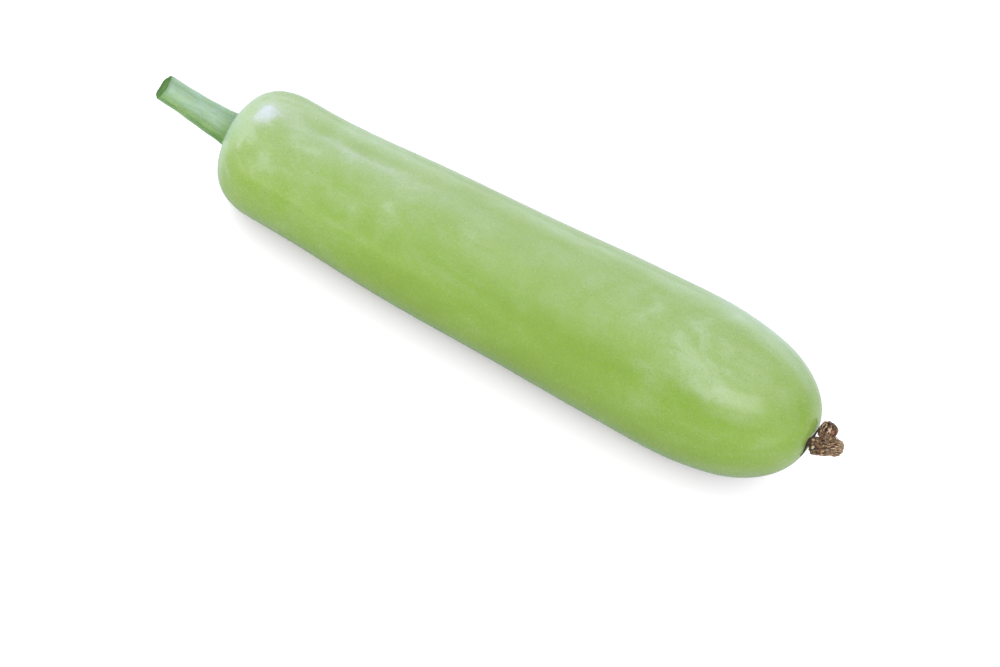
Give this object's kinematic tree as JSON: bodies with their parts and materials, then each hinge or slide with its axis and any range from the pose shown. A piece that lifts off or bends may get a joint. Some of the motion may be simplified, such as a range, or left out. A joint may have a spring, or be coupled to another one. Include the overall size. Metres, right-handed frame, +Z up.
{
  "type": "bottle gourd",
  "caption": "Long pale green bottle gourd lying on its side, with a ridged cut stem at one end and a small withered brown flower at the other.",
  "frame": {"origin": "on the surface that the gourd rests on, under the middle of its bounding box", "axes": "+X along the gourd from the stem to the withered flower, +Y across it, +Z up"},
  "size_m": [0.4082, 0.0852, 0.0841],
  "materials": {
    "skin": "satin, downy skin, cloudy light green with paler and yellower patches",
    "stalk": "matt grey-green with soft lengthwise ridges and a moist darker cut",
    "withered_petal": "dry, brown and papery with dark creases"
  },
  "bodies": {
    "root": {"fruit": "skin", "stem": "stalk", "dried_blossom": "withered_petal"}
  },
  "joints": []
}
